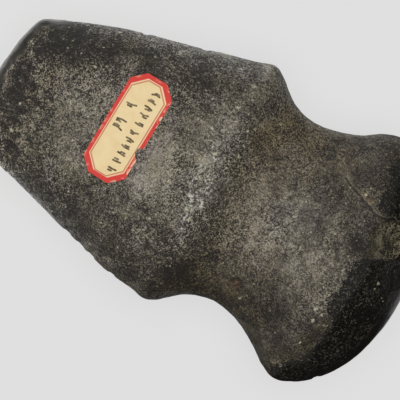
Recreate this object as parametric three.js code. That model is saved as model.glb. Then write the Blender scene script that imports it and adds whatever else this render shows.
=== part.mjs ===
// A full-grooved stone axe head lying on one broad face, with an old paper label glued to the other.
// Millimetres, +Z up. X runs from the bit to the poll, Y across the head and Z through its thickness.
// While it is shaped, x = 0 is just behind the shoulder and z = 0 is the mid-plane.
import * as THREE from "three";
import { mergeVertices } from "three/addons/utils/BufferGeometryUtils.js";

// The outline from above, as [x, y] points, anticlockwise from the middle of the upper groove.
const UPPER_SIDE = [
  [19.5, 34.1], [12, 36.1], [7, 39.4], [4, 42.1], [-0.5, 44.5], [-6, 43], [-26, 37.7], [-50, 31.7],
  [-70, 24.5], [-75, 22.4],
];
const BIT_EDGE = [
  [-77.2, 20.9], [-78.9, 17], [-81, 7], [-81.8, -3], [-81.1, -13], [-79.3, -21.4], [-75.8, -25.2],
];
const LOWER_SIDE = [
  [-56, -31.6], [-34, -38], [-18, -42.5], [-8, -43.8], [-2.6, -44.9], [1.2, -43.3], [4, -41], [9, -37.2],
  [14, -35.2], [20, -34.4], [28, -36.3], [37, -41.1], [43, -45.5],
];
const POLL_END = [
  [48.5, -47.6], [55, -45.4], [61, -40.6], [67, -32.8], [71.4, -21.5], [73.4, -5], [71.6, 12], [65.4, 28],
  [57, 38.4], [48.5, 43.5], [42, 41.8], [36, 38], [28, 35.2],
];
const OUTLINE_STEPS = 900;
const EDGE_OVERLAP = 0.01; // share of an outline edge by which a ray may miss it and still count as a hit

// The broad faces, as [x, height above the mid-plane] along the middle of the head: bit, blade, shoulder,
// groove, poll ridge and poll end. scars are flakes and bruises in a face, as [x, y, radius, depth].
const TOP = {
  heights: [
    [-82, 5], [-75, 7.8], [-58, 13.8], [-30, 20.6], [-10, 25.8], [-3.5, 27.1], [2, 26.3], [8.5, 22.9],
    [16, 21], [26, 20.9], [40, 23.9], [50, 26.6], [54.5, 26.5], [60, 22.8], [76, 10],
  ],
  scars: [[59.5, 11, 7.4, 1.7], [67, 2, 5, 1], [47, -41, 5.5, 0.7], [-42, 33, 5, 0.6], [-30, -37, 7, 0.8]],
  wavePhase: 0,
};
const UNDERSIDE = {
  heights: [
    [-82, 4.8], [-75, 7.4], [-56, 14], [-30, 20.4], [-11, 26], [-4, 27.6], [2.5, 27], [9, 23.3],
    [17, 21.1], [27, 21.4], [41, 24.9], [49, 27.3], [55, 27.4], [60.5, 23.2], [76, 10],
  ],
  scars: [[64, -14, 7.5, 1.6], [-70, 12, 6, 0.7], [20, 24, 9, 0.7], [-36, -30, 8, 0.8]],
  wavePhase: 2.5,
};
const FLOOR_BELOW_MIDDLE = 26.8; // both ridges of the underside are worn flat at this depth, and rest there

// Each cross-section is a superellipse between the middle line and the rim. A higher power is a boxier one.
const MIDDLE_Y = -1;
const SIDE_POWER = [[-60, 2.5], [-30, 2.7], [-2, 2.7], [10, 2.2], [24, 2.15], [44, 2.4]];
const BIT_POWER = 3.4;
const POLL_POWER = 3.4;
const BIT_FOOT_X = -60; // sections beyond these two points of the middle line fan out from them
const POLL_FOOT_X = 44;
// A station bends along the head by this much times the square of its distance from the middle line.
const STATION_BEND = [[-82, -0.0068], [-40, -0.002], [0, -0.0012], [20, 0.001], [54, 0.0054], [74, 0.0094]];

// Slow waves keep the pecked faces from being regular: height, radians per millimetre along x and y, phase.
const WAVES = [
  [0.34, 0.11, 0.07, 0.6], [0.26, -0.06, 0.16, 2.1], [0.2, 0.21, -0.12, 4], [0.13, 0.33, 0.27, 1.2],
];
const RIM_WANDER = 0.7; // how far the rim leaves the mid-plane
const RIM_WAVE = { x: 31, y: 40 };

const SECTION_STEP = 3; // between the sections of the two long sides
const FAN_SECTIONS = 32; // round each end
const RINGS = 13; // from the middle line to the rim

// The label is a long octagon of paper with a bite torn out of one long edge. p runs along it and q across.
const LABEL = { x: -33.7, y: 2.5, turn: -0.051, length: 38, width: 16.1, cutAlong: 4.2, cutAcross: 4.3 };
const LABEL_TEAR = [[0, -7.9], [0.85, -7], [1.75, -5.7], [1.55, -4], [0, -3]]; // [distance in from the edge, p]
const LABEL_THICKNESS = 0.3;
const LABEL_GAP = 0.3;
const LABEL_STEP = 2.5;
const LABEL_RINGS = 6;

const stoneMaterial = new THREE.MeshStandardMaterial({ color: 0x5c5850, roughness: 0.65, metalness: 0 });
const paperMaterial = new THREE.MeshStandardMaterial({ color: 0xe9d09d, roughness: 0.85, metalness: 0 });

const outline = new THREE.CatmullRomCurve3(
  [...UPPER_SIDE, ...BIT_EDGE, ...LOWER_SIDE, ...POLL_END].map(([x, y]) => new THREE.Vector3(x, y, 0)),
  true,
).getSpacedPoints(OUTLINE_STEPS);

// The value at x of a smooth curve through [x, value] points.
function along(points, x) {
  const last = points.length - 1;
  const t = THREE.MathUtils.clamp(x, points[0][0], points[last][0]);
  let i = 0;
  while (i < last - 1 && t > points[i + 1][0]) i += 1;
  const slope = (k) => {
    const [before, after] = [points[Math.max(k - 1, 0)], points[Math.min(k + 1, last)]];
    return (after[1] - before[1]) / (after[0] - before[0]);
  };
  const [x0, y0] = points[i];
  const [x1, y1] = points[i + 1];
  const s = (t - x0) / (x1 - x0);
  const ends = y0 * (1 + 2 * s) * (1 - s) ** 2 + y1 * s * s * (3 - 2 * s);
  return ends + (x1 - x0) * (slope(i) * s * (1 - s) ** 2 + slope(i + 1) * s * s * (s - 1));
}

// The distance to the outline from a foot on the middle line, in the direction of an angle.
function reachFrom(footX, angle) {
  const [dx, dy] = [Math.cos(angle), Math.sin(angle)];
  let reach = 0;
  for (let i = 0; i < OUTLINE_STEPS; i += 1) {
    const edge = outline[i + 1].clone().sub(outline[i]);
    const cross = dx * edge.y - dy * edge.x;
    const [wx, wy] = [outline[i].x - footX, outline[i].y - MIDDLE_Y];
    const share = (wx * dy - wy * dx) / cross;
    const hit = share > -EDGE_OVERLAP && share < 1 + EDGE_OVERLAP;
    if (hit) reach = Math.max(reach, (wx * edge.y - wy * edge.x) / cross);
  }
  return reach;
}

// A spoke is half a cross-section: it runs from its foot on the middle line out to the rim.
function makeSpoke(footX, angle) {
  const towardsEnd = Math.cos(angle) ** 2;
  const endPower = Math.cos(angle) < 0 ? BIT_POWER : POLL_POWER;
  const power = THREE.MathUtils.lerp(along(SIDE_POWER, footX), endPower, towardsEnd);
  return { footX, angle, power, reach: reachFrom(footX, angle) };
}

// Every spoke, anticlockwise: along the upper side, round the bit, along the lower side and round the poll.
function makeSpokes() {
  const sections = Math.round((POLL_FOOT_X - BIT_FOOT_X) / SECTION_STEP);
  const feet = Array.from({ length: sections + 1 }, (_, i) =>
    THREE.MathUtils.lerp(POLL_FOOT_X, BIT_FOOT_X, i / sections));
  const fan = (footX, rim) => Array.from({ length: FAN_SECTIONS - 1 }, (_, i) => {
    const { x, y } = rim[Math.round((rim.length * (i + 1)) / FAN_SECTIONS)];
    return makeSpoke(footX, Math.atan2(y - MIDDLE_Y, x - footX));
  });
  return [
    ...feet.map((footX) => makeSpoke(footX, Math.PI / 2)),
    ...fan(BIT_FOOT_X, outline.filter(({ x }) => x < BIT_FOOT_X)),
    ...feet.toReversed().map((footX) => makeSpoke(footX, -Math.PI / 2)),
    ...fan(POLL_FOOT_X, outline.filter(({ x }) => x > POLL_FOOT_X)),
  ];
}

function waves(phase, x, y) {
  return WAVES.reduce((sum, [height, byX, byY, start]) =>
    sum + height * Math.sin(byX * x + byY * y + start + phase), 0);
}

// The depth of the scars of a face at a point: each is a shallow bowl.
function scarDepth(scars, x, y) {
  return scars.reduce((sum, [scarX, scarY, radius, depth]) => {
    const inside = 1 - ((x - scarX) ** 2 + (y - scarY) ** 2) / radius ** 2;
    return sum + depth * Math.max(inside, 0);
  }, 0);
}

// How far a face stands from the mid-plane. share runs from 0 on the middle line to 1 at the rim.
function faceHeight(face, x, y, share, power) {
  const station = x + along(STATION_BEND, x) * (y - MIDDLE_Y) ** 2;
  const section = (1 - share ** power) ** (1 / power);
  const waveShare = Math.min(1, 4 * (1 - share));
  const scarShare = Math.min(1, 3 * section);
  return section * along(face.heights, station) + waveShare * waves(face.wavePhase, x, y)
    - scarShare * scarDepth(face.scars, x, y);
}

const rimHeight = (x, y) => RIM_WANDER * Math.sin(x / RIM_WAVE.x + 0.5) * Math.cos(y / RIM_WAVE.y + 0.8);
const topHeight = (x, y, share, power) => rimHeight(x, y) + faceHeight(TOP, x, y, share, power);
const undersideHeight = (x, y, share, power) =>
  Math.max(rimHeight(x, y) - faceHeight(UNDERSIDE, x, y, share, power), -FLOOR_BELOW_MIDDLE);

// A closed body between two sheets of rows. Every row runs outwards, and the rows go round anticlockwise.
function closedBody(upperRows, lowerRows) {
  const corners = [];
  const triangle = (a, b, c) => {
    if (a.equals(b) || b.equals(c) || c.equals(a)) return; // rows can share their first or last point
    corners.push(...a.toArray(), ...b.toArray(), ...c.toArray());
  };
  const patch = (a, b, c, d) => {
    triangle(a, b, c);
    triangle(a, c, d);
  };
  upperRows.forEach((upper, k) => {
    const next = (k + 1) % upperRows.length;
    const [nextUpper, lower, nextLower] = [upperRows[next], lowerRows[k], lowerRows[next]];
    for (let j = 0; j + 1 < upper.length; j += 1) {
      patch(upper[j], upper[j + 1], nextUpper[j + 1], nextUpper[j]);
      patch(lower[j], nextLower[j], nextLower[j + 1], lower[j + 1]);
    }
    patch(upper.at(-1), lower.at(-1), nextLower.at(-1), nextUpper.at(-1));
  });
  const geometry = new THREE.BufferGeometry();
  geometry.setAttribute("position", new THREE.Float32BufferAttribute(corners, 3));
  const merged = mergeVertices(geometry);
  merged.computeVertexNormals();
  return merged;
}

function stoneGeometry() {
  const spokes = makeSpokes();
  const shares = Array.from({ length: RINGS + 1 }, (_, j) => Math.sin((Math.PI / 2) * (j / RINGS)));
  const rows = (height) => spokes.map(({ footX, angle, power, reach }) => shares.map((share) => {
    const x = footX + share * reach * Math.cos(angle);
    const y = MIDDLE_Y + share * reach * Math.sin(angle);
    return new THREE.Vector3(x, y, height(x, y, share, power));
  }));
  return closedBody(rows(topHeight), rows(undersideHeight));
}

// The height of the top face under any point inside the outline.
function stoneTopAt(x, y) {
  const footX = THREE.MathUtils.clamp(x, BIT_FOOT_X, POLL_FOOT_X);
  const { power, reach } = makeSpoke(footX, Math.atan2(y - MIDDLE_Y, x - footX));
  return topHeight(x, y, Math.hypot(x - footX, y - MIDDLE_Y) / reach, power);
}

// Points round the label, anticlockwise and at most a step apart, as (q, p).
function labelEdge() {
  const [q, p] = [LABEL.width / 2, LABEL.length / 2];
  const [endQ, sideP] = [q - LABEL.cutAcross, p - LABEL.cutAlong];
  const corners = [
    [q, -sideP], ...LABEL_TEAR.map(([inward, tearP]) => [q - inward, tearP]), [q, sideP],
    [endQ, p], [-endQ, p], [-q, sideP], [-q, -sideP], [-endQ, -p], [endQ, -p],
  ].map(([across, lengthwise]) => new THREE.Vector2(across, lengthwise));
  return corners.flatMap((corner, i) => {
    const next = corners[(i + 1) % corners.length];
    const steps = Math.ceil(corner.distanceTo(next) / LABEL_STEP);
    return Array.from({ length: steps }, (_, k) => corner.clone().lerp(next, k / steps));
  });
}

function labelGeometry() {
  const rows = (lift) => labelEdge().map((edge) => Array.from({ length: LABEL_RINGS + 1 }, (_, j) => {
    const point = edge.clone().multiplyScalar(j / LABEL_RINGS);
    const { x, y } = point.rotateAround(new THREE.Vector2(), LABEL.turn).add(LABEL);
    return new THREE.Vector3(x, y, stoneTopAt(x, y) + lift);
  }));
  return closedBody(rows(LABEL_GAP + LABEL_THICKNESS), rows(LABEL_GAP));
}

function namedMesh(name, geometry, material) {
  const mesh = new THREE.Mesh(geometry, material);
  mesh.name = name;
  return mesh;
}

const axe = new THREE.Group();
axe.add(namedMesh("stone_axe_head", stoneGeometry(), stoneMaterial));
axe.add(namedMesh("collection_label", labelGeometry(), paperMaterial));

// The origin is the middle of the part's box, on the surface that it lies on.
const box = new THREE.Box3().setFromObject(axe);
const centre = box.getCenter(new THREE.Vector3());
axe.position.set(-centre.x, -centre.y, -box.min.z);

export default axe;
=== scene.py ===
# The look of a full-grooved stone axe head, with an old paper label glued to its upper face.
# Shapes are worked out in millimetres in the head's own frame and built in metres in the part's frame.
import math
import random

import bpy
import numpy as np
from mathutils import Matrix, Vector, noise


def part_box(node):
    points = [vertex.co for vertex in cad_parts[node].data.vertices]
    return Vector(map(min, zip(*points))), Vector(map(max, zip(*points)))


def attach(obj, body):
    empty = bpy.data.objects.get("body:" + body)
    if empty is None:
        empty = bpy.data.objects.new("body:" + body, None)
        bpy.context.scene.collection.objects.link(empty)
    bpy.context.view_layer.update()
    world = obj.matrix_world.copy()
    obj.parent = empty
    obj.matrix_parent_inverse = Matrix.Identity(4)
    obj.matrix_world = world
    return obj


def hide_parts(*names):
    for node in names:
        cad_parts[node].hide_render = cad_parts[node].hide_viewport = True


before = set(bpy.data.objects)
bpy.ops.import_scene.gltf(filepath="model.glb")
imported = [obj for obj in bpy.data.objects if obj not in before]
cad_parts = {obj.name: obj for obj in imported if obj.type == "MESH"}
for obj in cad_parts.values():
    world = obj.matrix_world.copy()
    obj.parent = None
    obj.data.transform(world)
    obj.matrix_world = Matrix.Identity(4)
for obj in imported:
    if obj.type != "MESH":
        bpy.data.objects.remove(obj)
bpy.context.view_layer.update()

bl_info = {
    "name": "Grooved Axe",
    "version": (1, 0, 0),
    "blender": (4, 5, 0),
    "location": "View3D > Sidebar > Grooved Axe",
    "description": "Makes a full-grooved stone axe head with an old paper label, and a plain stage for it",
    "category": "Add Mesh",
}

MM = 0.001

# The outline from above, as (x, y) points, anticlockwise from the middle of the upper groove.
UPPER_SIDE = [
    (19.5, 34.1), (12, 36.1), (7, 39.4), (4, 42.1), (-0.5, 44.5), (-6, 43), (-26, 37.7), (-50, 31.7),
    (-70, 24.5), (-75, 22.4),
]
BIT_EDGE = [
    (-77.2, 20.9), (-78.9, 17), (-81, 7), (-81.8, -3), (-81.1, -13), (-79.3, -21.4), (-75.8, -25.2),
]
LOWER_SIDE = [
    (-56, -31.6), (-34, -38), (-18, -42.5), (-8, -43.8), (-2.6, -44.9), (1.2, -43.3), (4, -41), (9, -37.2),
    (14, -35.2), (20, -34.4), (28, -36.3), (37, -41.1), (43, -45.5),
]
POLL_END = [
    (48.5, -47.6), (55, -45.4), (61, -40.6), (67, -32.8), (71.4, -21.5), (73.4, -5), (71.6, 12), (65.4, 28),
    (57, 38.4), (48.5, 43.5), (42, 41.8), (36, 38), (28, 35.2),
]
OUTLINE_STEPS = 2400

# The broad faces, as (x, distance from the mid-plane) along the middle of the head: bit, blade, shoulder,
# groove, poll ridge and poll end. Scars are flakes and bruises in a face, as (x, y, radius, depth).
TOP_HEIGHTS = [
    (-82, 5), (-75, 7.8), (-58, 13.8), (-30, 20.6), (-10, 25.8), (-3.5, 27.1), (2, 26.3), (8.5, 22.9),
    (16, 21), (26, 20.9), (40, 23.9), (50, 26.6), (54.5, 26.5), (60, 22.8), (76, 10),
]
TOP_SCARS = [(59.5, 11, 7.4, 1.7), (67, 2, 5, 1), (47, -41, 5.5, 0.7), (-42, 33, 5, 0.6), (-30, -37, 7, 0.8)]
UNDERSIDE_HEIGHTS = [
    (-82, 4.8), (-75, 7.4), (-56, 14), (-30, 20.4), (-11, 26), (-4, 27.6), (2.5, 27), (9, 23.3),
    (17, 21.1), (27, 21.4), (41, 24.9), (49, 27.3), (55, 27.4), (60.5, 23.2), (76, 10),
]
UNDERSIDE_SCARS = [(64, -14, 7.5, 1.6), (-70, 12, 6, 0.7), (20, 24, 9, 0.7), (-36, -30, 8, 0.8)]
TOP_PHASE = 0
UNDERSIDE_PHASE = 2.5
FLOOR_BELOW_MIDDLE = 26.8

# Each cross-section is a superellipse between the middle line and the rim. A higher power is a boxier one.
MIDDLE_Y = -1
SIDE_POWER = [(-60, 2.5), (-30, 2.7), (-2, 2.7), (10, 2.2), (24, 2.15), (44, 2.4)]
END_POWER = 3.4
BIT_FOOT_X = -60
POLL_FOOT_X = 44
# How strongly the cross-sections bend along with the round ends, as (x, bend). Below 0 is towards the bit.
STATION_BEND = [(-82, -0.0068), (-40, -0.002), (0, -0.0012), (20, 0.001), (54, 0.0054), (74, 0.0094)]

# Slow waves in the pecked faces: height, radians per millimetre along x and y, phase.
WAVES = [(0.34, 0.11, 0.07, 0.6), (0.26, -0.06, 0.16, 2.1), (0.2, 0.21, -0.12, 4), (0.13, 0.33, 0.27, 1.2)]
RIM_WANDER = 0.7
RIM_WAVE_X, RIM_WAVE_Y = 31, 40

# How finely the stone is meshed.
SECTION_STEP = 0.5
BIT_SECTIONS = 130
POLL_SECTIONS = 170
TOP_RINGS = 94
UNDERSIDE_RINGS = 38

# Marks on the stone. A spot is (x, y, radius), and a line is a list of (x, y).
# The battered crest of the shoulder.
SCUFFS = [
    (-4.4, -7.3, 3.2), (-1.1, -7.8, 2.8), (-3.5, -11, 2.6), (-2.5, -14.3, 2.6), (-1.1, -2.9, 2.8),
    (-6.2, -1.9, 2.6), (-1.8, 0.5, 2.8), (-5.5, 2.4, 2.4), (-4, 8.1, 2.2), (-6.5, 11.3, 2),
    (-2.1, -17.9, 1.3), (-2, -21.7, 1),
]
# Pale bruises, and short pale scratches.
PALE_SPOTS = [
    (-3.7, 34.1, 1.2), (-3.4, 30.9, 0.9), (-4.7, 25.7, 1.2), (-9.2, 15.4, 1.2), (-2.2, 18.8, 1.2),
    (1.3, 20.2, 0.7), (-4.3, 8.5, 1.2), (2.8, 11.5, 1.1), (-5.2, 2.9, 1.3), (-1, 12.6, 0.8),
    (9.9, 27.6, 0.8), (-12.6, 8.5, 0.9), (-11.2, 20.9, 0.5), (-2, -14.4, 1.5), (11, -5, 0.6),
    (48.7, -20, 1.3), (51.3, -21, 1.1), (49.6, -23.9, 1.2), (54.5, -23.2, 0.8), (47.9, -42.2, 1.3),
    (49.4, -32.4, 0.9), (63, -3, 1), (-51.8, 29.4, 1.3), (-74.3, 9.5, 1.1), (-64.1, 16.5, 0.7),
    (-69.5, -7.4, 0.8), (-49, -5.2, 0.7), (-49.8, 17, 0.6), (-53.1, 15, 1.1), (-67.6, -16.5, 1),
    (-47.8, -9.6, 0.8), (-24.3, -39.5, 0.7), (45.3, 20.4, 1), (25.5, -29.2, 0.9), (62.7, -5.2, 0.8),
    (68.6, -16.4, 0.5),
]
PALE_STREAKS = [
    [(0.4, 36.3), (1.5, 35.9), (3.1, 35.1)], [(-67.9, 2), (-66.3, -0.1), (-64.8, -2)],
    [(-56.3, 4.3), (-56.6, 3.2)], [(-54.9, 1.8), (-54.1, -0.4)], [(66.5, -6.6), (68, -8)],
]
# Darker and lighter patches of the top, as (x, y, radius, change): partly the stone's own mottling, partly
# painted shade and painted highlights.
MOTTLE_AND_PAINTED_LIGHT_PATCHES = [
    (-68.2, 15, 9, -0.7), (-60, 20, 8, -0.4), (-66, 21.5, 5, -0.25), (-51.1, 22.6, 6, -0.35),
    (-39.1, 27.2, 6, -0.3), (-34.5, 29.5, 4, -0.25), (-33, 20.5, 4, -0.2), (-26, 23.5, 3.5, -0.2),
    (-23.1, 27.1, 8, -0.25), (-75.5, 11, 3.5, -0.1), (-74.5, 3.5, 2.5, -0.3), (-71.5, -0.7, 5, -0.4),
    (-64, -4, 5, -0.25), (-71, -10, 6.5, -0.45), (-70, -17, 5, -0.15), (-66.5, -23, 5, -0.3),
    (-50, -30.5, 6, -0.3), (-38.8, -31, 5, -0.3), (-40.5, -26.6, 6.7, -0.2), (-27.5, -23.7, 6, -0.25),
    (-20.7, -34.5, 4.5, -0.35), (-18, -27.3, 3.5, -0.25), (-6.5, -23, 4, -0.3), (-0.1, -32.1, 4.7, -0.25),
    (1.2, -8.5, 3.4, -0.25), (12.1, -30.8, 5, -0.3), (9.4, -20.1, 3.5, -0.35), (20.5, 15.7, 5.4, -0.15),
    (28.1, 28.2, 4, -0.3), (34, 31.5, 4, -0.15), (34.5, 16.5, 6, -0.1), (39.8, 32.7, 7.4, -0.1),
    (44.7, 25.8, 4.5, -0.3), (-1, 26, 3, -0.3), (36, -28.5, 4.5, -0.35), (40.9, -28.9, 7.4, -0.1),
    (51, -28, 3.5, -0.25), (53.7, -18.9, 3, -0.2), (51, 12.5, 3, -0.4), (-61.2, 10.2, 3.5, 0.2),
    (-59.6, -19.4, 3, 0.2), (-51.1, -22.4, 4, 0.25), (-46.9, -13.3, 6.7, 0.25), (-45.4, -4.1, 4, 0.2),
    (-54.7, 3.8, 6.7, 0.15), (-68.2, 3.4, 2.7, 0.3), (-72.8, 7.7, 2.3, 0.25), (-22.9, -4.1, 10.1, 0.3),
    (-20.2, 3.5, 6, 0.2), (-20, -8.5, 5.5, 0.3), (-13, 6, 5, 0.2), (-7.8, -17, 5, 0.3), (-6, 4.5, 3, 0.3),
    (-4, -12.5, 2.5, 0.35), (-4.2, 18.3, 3.5, 0.35), (2.3, 10.4, 4, 0.1), (6, 24.5, 4, 0.3),
    (0.1, 33.6, 4, 0.15), (9, -5.1, 4.5, 0.15), (14, 5, 5, 0.2), (3.5, -23.3, 3, 0.2),
    (24, -27.4, 4.5, -0.25), (18, -7.8, 5, 0.25), (26.5, -10.8, 5, 0.25), (25.1, 5.6, 8.7, 0.1),
    (38.3, -10.1, 5.4, 0.15), (37.2, 23, 3, 0.2), (-27, -40.5, 4, 0.35), (-19, -42.5, 4, 0.35),
    (-11, -44, 4, 0.25), (-7.7, 24, 3.5, 0.2), (-9.8, 15.3, 3.5, 0.2), (-54, -1, 4, 0.15),
    (-49, -10, 4, 0.12), (-44.6, -18.9, 4, 0.2), (-17.9, -12, 4, 0.25), (-14.9, -3.5, 4, 0.15),
    (-5, 2.5, 4, 0.2), (12, -3.5, 4.5, 0.12), (40.4, -7, 4, 0.15), (-1.3, 12.3, 3.5, -0.2),
    (4.6, 15.4, 3.5, -0.2), (-7.2, 9, 3, -0.2), (4.1, 30.4, 3.5, -0.25), (-39.3, 26, 5, -0.2),
    (-49.7, 24.1, 4.5, -0.2), (-70.3, 12.9, 4, -0.2), (-61.7, 25.2, 3.5, -0.2), (-74.1, 0, 3.5, -0.25),
    (-56, -27.5, 4, -0.25), (-30.6, -34.2, 4, -0.3), (-11.6, -39.1, 3.5, -0.3), (3.1, -31.1, 5, -0.2),
    (41.9, -25.3, 3.5, -0.15), (45.8, 37.8, 4, -0.3), (5.6, -14.5, 3.5, -0.2), (-15.3, -18.2, 3, -0.2),
    (-42.5, -10, 3, -0.2), (-18.4, 29.6, 4, -0.2), (25.5, 34.5, 3, 0.2), (50.3, 7, 2.8, -0.3),
    (51.5, 3.5, 3.4, -0.4), (62, 8, 2.6, -0.4), (17, 22, 4, 0.15), (62, -6.5, 3, 0.6), (68, -2, 4, -0.5),
    (65.5, -12.5, 5, -0.5), (61, -18.5, 5, -0.35), (-38, 18.8, 3.2, -0.35), (-43.8, 15, 2.5, -0.25),
    (-64, 24, 3.5, -0.3), (-14.8, 20.9, 4.5, -0.2), (-62, -23.4, 3.5, -0.3), (-76.3, -7.5, 3, -0.25),
    (-70.3, 12.9, 5, -0.2), (-73, 4, 3, -0.2), (58, -39, 3.5, -0.3), (60, -30.5, 3.5, 0.4),
    (66.5, -1.5, 3, -0.3), (55, 10.2, 2.2, 0.3), (24.6, -28.6, 2.5, 0.45), (-2.3, 42, 2.5, 0.4),
    (-15.6, 40.5, 2.2, 0.3), (-42.8, 21.7, 2.5, 0.35), (55.5, 2, 2.6, -0.3),
]
# Places rubbed smooth by handling.
HANDLED = [(-21, -6, 14), (27.9, 3.3, 15), (37.5, -8.6, 10), (-52, -3.9, 12), (-14.4, 16.6, 9)]
# Where the dark end of the poll begins, as (y, x).
POLL_EDGE = [
    (-44, 46), (-39, 50), (-35, 53.5), (-31, 54.5), (-26, 56), (-22, 56), (-18, 50.8), (-12, 51.5),
    (-5, 51.5), (-2, 51.5), (1, 53), (4, 59), (8, 59.5), (14, 56), (17, 53.5), (20, 51), (25, 49.5),
    (32, 49), (40, 49.5),
]
# Rusty stains.
STAINS = [(60.7, 16.8, 1.4), (-4.4, -12.3, 1.4), (21.8, -26, 2.2), (44.5, 19.7, 1.5), (47.6, 18.9, 1.7)]
# Earth left in the groove.
GROOVE_SOIL = [
    (5, -32, 11), (14, -31, 9), (22, -29, 8), (31, -31, 8), (14, 30, 10), (24, 28, 9), (33, 30, 8),
    (9, 22, 8),
]
# Chips in the rim.
CHIPS = [
    (-35.5, -37.6, 2), (-29.6, -39.2, 2.2), (-24.9, -40.7, 2), (-15.8, -43, 1.6), (-44, 33.5, 1.6),
    (-24, 38.6, 1.8), (61, -40.8, 1.6),
]
# The middle of the rings that ripple the flake scar, and their radians per millimetre.
RIPPLE_MIDDLE = (61.8, 15.3)
RIPPLE_RATE = 1.9
# Two cracks that meet beside the scar, and the distance that means no crack.
POLL_CRACK = [(36.5, 22.5), (41.3, 20.1), (47, 17.9), (49.5, 17), (50.9, 15.8)]
SCAR_CRACK = [(50.9, 15.8), (53.9, 16.3), (57.1, 17.7), (59.8, 17.3), (63, 18.2), (67.5, 19)]
NO_CRACK = 9

# Where along x each change begins and is full.
BIT_WEAR = (-65, -74)
BIT_MOTTLE = (-54, -64)
BIT_COARSE = (-58, -66)
SOIL_BEGIN = (3, 10)
SOIL_THICK = (36, 24)
GROOVE_FINE = (6, 20)
POLL_COARSE = (38, 46)
POLL_POLISH = (55, 59)
POLL_WEAR = (56, 64)
# How far from the rim the wear begins and is full.
WORN_BAND = (4.4, 2.4)

# The fine relief of the head: lengths along the surface, and heights and depths.
LUMP_LENGTH, LUMP_HEIGHT = 9, 0.16
PECK_LENGTH, PECK_HEIGHT = 2.1, 0.075
PIT_SPACING, PIT_DEPTH = 2.6, 0.13
CRACK_DEPTH = 0.2
CHIP_DEPTH = 0.34
RIPPLE_HEIGHT = 0.07

# Sizes of the stone's grains and patches and the depth of its grit, in metres.
CRYSTAL = 0.00034
FLECK = 0.00055
SPECK = 0.0009
FINE_GRIT = 0.0012
CLUMP = 0.0048
TINT_PATCH = 0.009
CALM_PATCH = 0.013
BROAD_PATCH = 0.022
GRIT_DEPTH = 0.0006

# The label. p runs along it and q across it, both from its middle.
LABEL_X = -33.7
LABEL_Y = 2.5
LABEL_TURN = -0.051
LABEL_LENGTH = 38
LABEL_WIDTH = 16.1
LABEL_CUT_ALONG = 4.2
LABEL_CUT_ACROSS = 4.3
# The torn notch in its side, as (depth, p).
LABEL_TEAR = [(0, -7.9), (0.85, -7), (1.75, -5.7), (1.55, -4), (0, -3)]
LABEL_LIFT = 0.14
LABEL_DEPTH = 0.22
LABEL_STEP = 0.16
LABEL_WOBBLE = 0.09
LABEL_CURL = 0.16
LABEL_CREASE = 0.05
# The octagons of its print, as (half width, half length, corner cut). The line's is a little off the middle.
BORDER_OCTAGON = (6.75, 17.45, 4.1)
LINE_OCTAGON = (6.3, 17.1, 4.15)
LINE_OFF_Q, LINE_OFF_P = 0.05, 0.1
# Rows of pen strokes, as (lowest q, highest q, first p, step in p, count).
PEN_ROWS = [
    (1.1, 3.7, 13.8, -2.35, 4), (1.3, 3.9, 2.9, -2.85, 7),
    (-4.6, -1.4, 7.6, -3.4, 1), (-4.7, -1.5, 1.4, -3.2, 2),
]
PEN_SEED = 17
# Sizes of the paper's fibres, rubbed places and blotches and the depth of its fibres, in metres.
FIBRE = 0.0009
RUBBED_PLACE = 0.0022
BLOTCH = 0.005
FIBRE_DEPTH = 0.00005

# The stage, in metres. Both cards lie just under the floor, which doesn't hold their light back.
FLOOR_REACH = 12
FLOOR_DROP = 0.0001
CARD_DROP = 0.003
FAR_CARD_AWAY = 0.53
FAR_CARD_UP, FAR_CARD_LEFT = 0.68, 0.73
FAR_CARD_HALF_WIDTH, FAR_CARD_HALF_DEPTH = 0.42, 0.5
NEAR_CARD_HALF = 0.07
NEAR_CARD_RIGHT, NEAR_CARD_UP = 0.04, 0.015
LIGHT_SIZE = 1.15
LIGHT_HEIGHT = 1.6
SENSOR_WIDTH = 36
# The middle of the view, in the head's own frame.
VIEW_MIDDLE = (-1.56, -6.95, 0)


def along(points, x):
    """The values at x of a smooth curve through (x, value) points."""
    table = np.array(points, float)
    xs, ys = table[:, 0], table[:, 1]
    slopes = np.empty_like(ys)
    slopes[1:-1] = (ys[2:] - ys[:-2]) / (xs[2:] - xs[:-2])
    slopes[0] = (ys[1] - ys[0]) / (xs[1] - xs[0])
    slopes[-1] = (ys[-1] - ys[-2]) / (xs[-1] - xs[-2])
    t = np.clip(x, xs[0], xs[-1])
    i = np.clip(np.searchsorted(xs, t) - 1, 0, len(xs) - 2)
    width = xs[i + 1] - xs[i]
    s = (t - xs[i]) / width
    ends = ys[i] * (1 + 2 * s) * (1 - s) ** 2 + ys[i + 1] * s * s * (3 - 2 * s)
    return ends + width * (slopes[i] * s * (1 - s) ** 2 + slopes[i + 1] * s * s * (s - 1))


def smooth_loop(points, steps):
    """Evenly spaced points of a closed centripetal Catmull-Rom curve through the given ones."""
    start = np.array(points, float)
    before, end, after = (np.roll(start, shift, axis=0) for shift in (1, -1, -2))
    spans = ((before, start), (start, end), (end, after))
    d0, d1, d2 = (np.sqrt(np.linalg.norm(b - a, axis=1))[:, None] for a, b in spans)
    leave = d1 * ((start - before) / d0 - (end - before) / (d0 + d1) + (end - start) / d1)
    arrive = d1 * ((end - start) / d1 - (after - start) / (d1 + d2) + (after - end) / d2)
    s = np.linspace(0, 1, 100, endpoint=False)[:, None]
    pieces = [
        a + p * s + (3 * (b - a) - 2 * p - q) * s**2 + (2 * (a - b) + p + q) * s**3
        for a, b, p, q in zip(start, end, leave, arrive)
    ]
    dense = np.vstack(pieces + [start[:1]])
    run = np.concatenate([[0], np.cumsum(np.linalg.norm(np.diff(dense, axis=0), axis=1))])
    stops = np.linspace(0, run[-1], steps, endpoint=False)
    return np.column_stack([np.interp(stops, run, dense[:, 0]), np.interp(stops, run, dense[:, 1])])


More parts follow.
